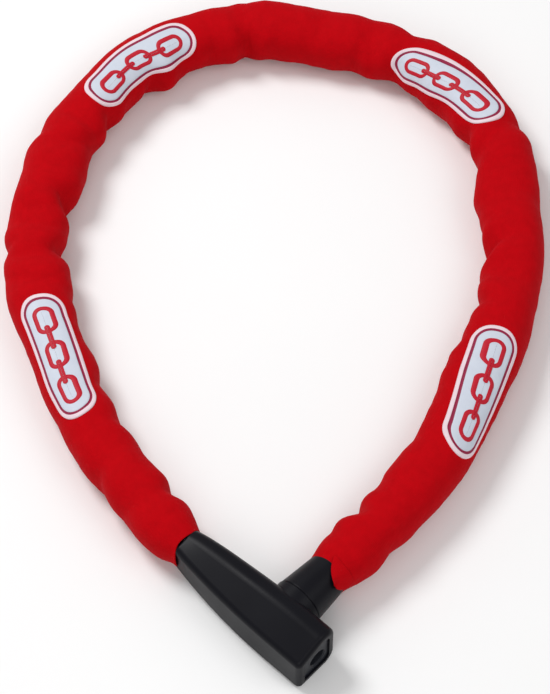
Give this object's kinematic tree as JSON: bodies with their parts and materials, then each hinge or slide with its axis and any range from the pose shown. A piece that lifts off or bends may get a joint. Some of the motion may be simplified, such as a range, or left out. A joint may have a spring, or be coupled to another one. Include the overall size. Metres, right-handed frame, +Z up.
{
  "type": "chain lock",
  "caption": "Key chain lock lying closed in a loop: square-wire chain in a red fabric sleeve, one end fixed in a tapered black lock body, the other ending in a plug that slides into its side",
  "frame": {"origin": "middle of the bounding box's footprint, at the floor", "axes": "+Z up, the object lies flat; +Y from the lock to the crown of the loop, the longest extent; +X to the plug's side of the loop"},
  "size_m": [0.229, 0.336, 0.024],
  "materials": {
    "shell_plastic": "satin black, fine moulded grain",
    "plate_plastic": "satin dark grey",
    "case_metal": "die cast",
    "hard_steel": "hardened, ground",
    "pin_steel": "plain",
    "cylinder_brass": "machined",
    "rotor_metal": "nickel plated",
    "chain_steel": "zinc plated, slightly yellow",
    "sleeve_fabric": "woven red tube"
  },
  "bodies": {
    "lock": {"housing_top": "shell_plastic", "housing_bottom": "shell_plastic", "key_plate": "plate_plastic", "lock_case": "case_metal", "cylinder_body": "cylinder_brass", "cylinder_pin": "pin_steel", "socket_bush": "hard_steel", "anchor_eye": "hard_steel", "anchor_pin": "pin_steel", "housing_screws": "pin_steel", "latch_spring": "pin_steel"},
    "rotor": {"rotor": "rotor_metal", "wafers": "cylinder_brass", "rotor_clip": "pin_steel"},
    "latch": {"latch": "hard_steel"},
    "plug": {"stud": "hard_steel", "plug_core": "hard_steel", "plug_eye": "hard_steel", "plug_pins": "pin_steel", "plug_cover": "shell_plastic", "sleeve_plug_end": "sleeve_fabric", "link_01": "chain_steel", "link_02": "chain_steel", "link_03": "chain_steel", "link_04": "chain_steel", "link_05": "chain_steel"},
    "right": {"sleeve_right": "sleeve_fabric", "link_06": "chain_steel", "link_07": "chain_steel"},
    "crown_1": {"sleeve_crown_1": "sleeve_fabric", "link_08": "chain_steel"},
    "crown_2": {"sleeve_crown_2": "sleeve_fabric", "link_09": "chain_steel", "link_10": "chain_steel", "link_11": "chain_steel", "link_12": "chain_steel", "link_13": "chain_steel", "link_14": "chain_steel"},
    "crown_3": {"sleeve_crown_3": "sleeve_fabric", "link_15": "chain_steel", "link_16": "chain_steel", "link_17": "chain_steel", "link_18": "chain_steel"},
    "crown_4": {"sleeve_crown_4": "sleeve_fabric", "link_19": "chain_steel"},
    "left": {"sleeve_left": "sleeve_fabric", "link_20": "chain_steel", "link_21": "chain_steel"},
    "neck_run": {"sleeve_neck_end": "sleeve_fabric", "link_22": "chain_steel", "link_23": "chain_steel", "link_24": "chain_steel", "link_25": "chain_steel", "link_26": "chain_steel", "link_27": "chain_steel"}
  },
  "joints": [
    {"name": "key_turn", "type": "hinge", "parent": "lock", "child": "rotor", "pos_m": [0.00986, -0.15404, 0.0095], "axis": [0.7349, -0.6782, 0], "range_deg": [0, 90.2]},
    {"name": "latch_lift", "type": "slide", "parent": "lock", "child": "latch", "axis": [0, 0, 1], "range_m": [0, 0.00226], "deforming": ["latch_spring"]},
    {"name": "plug_slide", "type": "slide", "parent": "lock", "child": "plug", "axis": [0.6782, 0.7349, 0], "range_m": [0, 0.024]},
    {"name": "side_sway", "type": "hinge", "parent": "plug", "child": "right", "pos_m": [0.09353, -0.01207, 0.012], "axis": [0, 0, 1], "range_deg": [-15, 15]},
    {"name": "sway_right_top", "type": "hinge", "parent": "right", "child": "crown_1", "pos_m": [0.10237, 0.03802, 0.012], "axis": [0, 0, 1], "range_deg": [-15.3, 15.3]},
    {"name": "crown_open_right", "type": "hinge", "parent": "crown_1", "child": "crown_2", "pos_m": [0.10196, 0.06952, 0.012], "axis": [0, 0, 1], "range_deg": [0, 10.8]},
    {"name": "crown_open_top", "type": "hinge", "parent": "crown_2", "child": "crown_3", "pos_m": [-0.00589, 0.15605, 0.012], "axis": [0, 0, 1], "range_deg": [-13.34, 0]},
    {"name": "crown_open_left", "type": "hinge", "parent": "crown_3", "child": "crown_4", "pos_m": [-0.08621, 0.10195, 0.012], "axis": [0, 0, 1], "range_deg": [0, 2.59]},
    {"name": "sway_left_top", "type": "hinge", "parent": "crown_4", "child": "left", "pos_m": [-0.09359, 0.0839, 0.012], "axis": [0, 0, 1], "range_deg": [-15.3, 15.3]},
    {"name": "sway_left_low", "type": "hinge", "parent": "left", "child": "neck_run", "pos_m": [-0.10243, 0.03381, 0.012], "axis": [0, 0, 1], "range_deg": [-15.3, 15.3]}
  ],
  "couplings": [
    {"joint": "key_turn", "follows": "latch_lift", "rad_per_m": 694.21},
    {"joint": "sway_right_top", "follows": "side_sway", "ratio": -1},
    {"joint": "sway_left_top", "follows": "side_sway", "ratio": 1},
    {"joint": "sway_left_low", "follows": "side_sway", "ratio": -1},
    {"joint": "crown_open_right", "follows": "plug_slide", "rad_per_m": 7.6612},
    {"joint": "crown_open_top", "follows": "plug_slide", "rad_per_m": -9.4714},
    {"joint": "crown_open_left", "follows": "plug_slide", "rad_per_m": 1.8102}
  ]
}
